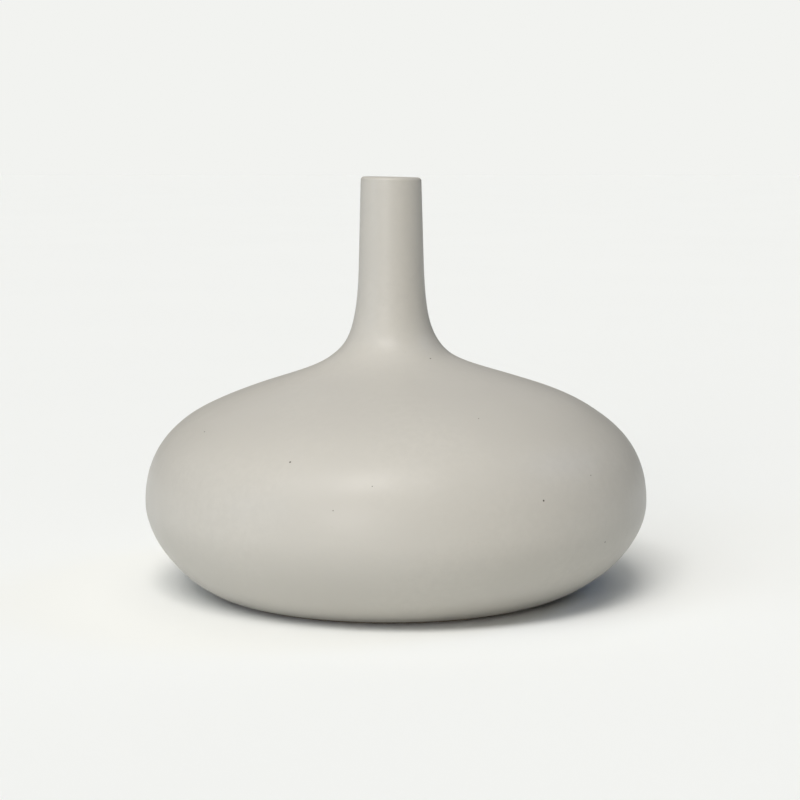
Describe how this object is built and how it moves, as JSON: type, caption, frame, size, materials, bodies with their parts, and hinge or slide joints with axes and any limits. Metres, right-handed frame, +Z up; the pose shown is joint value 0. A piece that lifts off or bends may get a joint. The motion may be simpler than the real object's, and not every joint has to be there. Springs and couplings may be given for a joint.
{
  "type": "bud vase",
  "caption": "Low, rounded ceramic bud vase with a dished shoulder, a slender upright neck for a single stem, a satin stone-white glaze and a plain turned foot.",
  "frame": {"origin": "centre of the foot ring's underside, on the plane the vase stands on", "axes": "+Z up along the axis of revolution; -Y towards the viewer of the front view, +X to that viewer's right"},
  "size_m": [0.165, 0.165, 0.135],
  "materials": {
    "matte_glaze": "satin",
    "liner_glaze": "gloss",
    "body_clay": "matte",
    "foot_clay": "matte"
  },
  "bodies": {
    "root": {"outer_glaze": "matte_glaze", "liner_glaze": "liner_glaze", "neck": "body_clay", "shoulder": "body_clay", "lower_bowl": "body_clay", "foot_ring": "foot_clay"}
  },
  "joints": []
}
